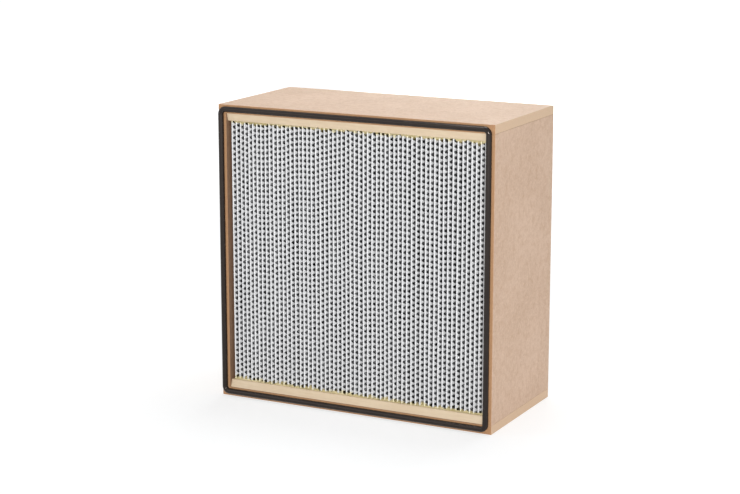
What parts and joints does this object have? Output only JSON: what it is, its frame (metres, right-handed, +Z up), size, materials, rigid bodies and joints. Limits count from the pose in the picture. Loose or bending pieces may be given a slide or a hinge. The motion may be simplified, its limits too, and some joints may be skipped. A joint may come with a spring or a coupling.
{
  "type": "hepa filter panel",
  "caption": "Deep-pleat high-efficiency air filter: fibreboard box frame round pleated glass-fibre paper with corrugated foil separators, sealed by a cast gasket on the front.",
  "frame": {"origin": "middle of the underside of the bottom board", "axes": "+X across the face to the right, +Y from the gasket side to the back, +Z up, parallel to the pleats"},
  "size_m": [0.61, 0.2997, 0.61],
  "materials": {
    "fibreboard": "bare medium-density fibreboard, smooth faces and slightly darker cut edges",
    "steel_wire": "bright drawn wire",
    "gasket_rubber": "smooth, glossy cast skin",
    "glass_paper": "matt white glass-fibre paper",
    "foil": "thin bright rolled foil",
    "potting_resin": "cream cast polyurethane with a soft sheen",
    "side_sealant": "cream sealant, matt"
  },
  "bodies": {
    "root": {"frame_top": "fibreboard", "frame_bottom": "fibreboard", "frame_left": "fibreboard", "frame_right": "fibreboard", "frame_brads": "steel_wire", "front_gasket": "gasket_rubber", "pleated_media": "glass_paper", "separators_front": "foil", "separators_rear": "foil", "potting_top": "potting_resin", "potting_bottom": "potting_resin", "side_seal_left": "side_sealant", "side_seal_right": "side_sealant"}
  },
  "joints": []
}
